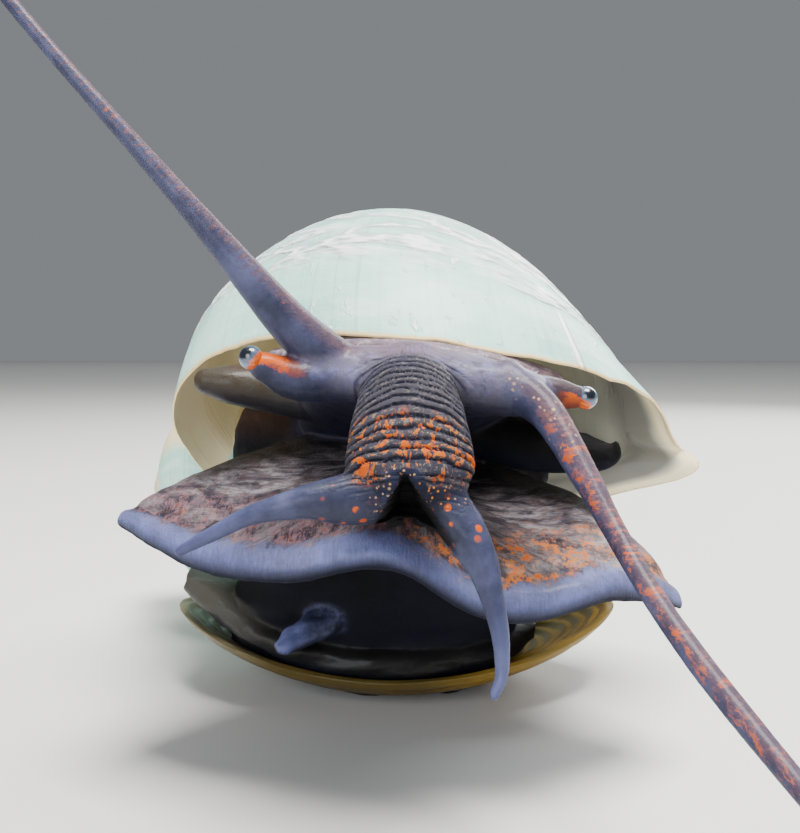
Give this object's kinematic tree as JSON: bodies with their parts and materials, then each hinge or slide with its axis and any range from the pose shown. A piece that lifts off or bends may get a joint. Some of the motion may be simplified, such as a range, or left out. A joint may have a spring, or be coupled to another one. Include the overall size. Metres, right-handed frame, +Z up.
{
  "type": "apple snail model",
  "caption": "Still, life-size apple snail, partly out of its shell: folded foot, snout with palps, long tentacles, stalked eyes and operculum.",
  "frame": {"origin": "centre of the operculum's flat on the floor", "axes": "+Z up, the animal faces -Y, +X is its left side"},
  "size_m": [0.0393, 0.0579, 0.0412],
  "materials": {
    "shell": "ivory with a pale green-blue tint, satin, fine growth lines",
    "horn": "amber horn with concentric growth ridges",
    "skin": "moist dark indigo skin with orange spots",
    "eye": "glossy blue-white ball with a dark pupil"
  },
  "bodies": {
    "root": {"shell": "shell", "operculum": "horn", "body": "skin", "foot_hind": "skin", "foot_front": "skin", "foot_fold": "skin", "head": "skin", "neck": "skin", "snout": "skin", "eyestalk_right": "skin", "eyestalk_left": "skin", "mantle_edge": "skin", "nuchal_lobe_right": "skin", "siphon_left": "skin", "tentacle_right_1": "skin", "tentacle_right_2": "skin", "tentacle_right_3": "skin", "tentacle_right_4": "skin", "tentacle_left_1": "skin", "tentacle_left_2": "skin", "tentacle_left_3": "skin", "tentacle_left_4": "skin", "palp_right_1": "skin", "palp_right_2": "skin", "palp_left_1": "skin", "palp_left_2": "skin", "eye_right": "eye", "eye_left": "eye"}
  },
  "joints": []
}
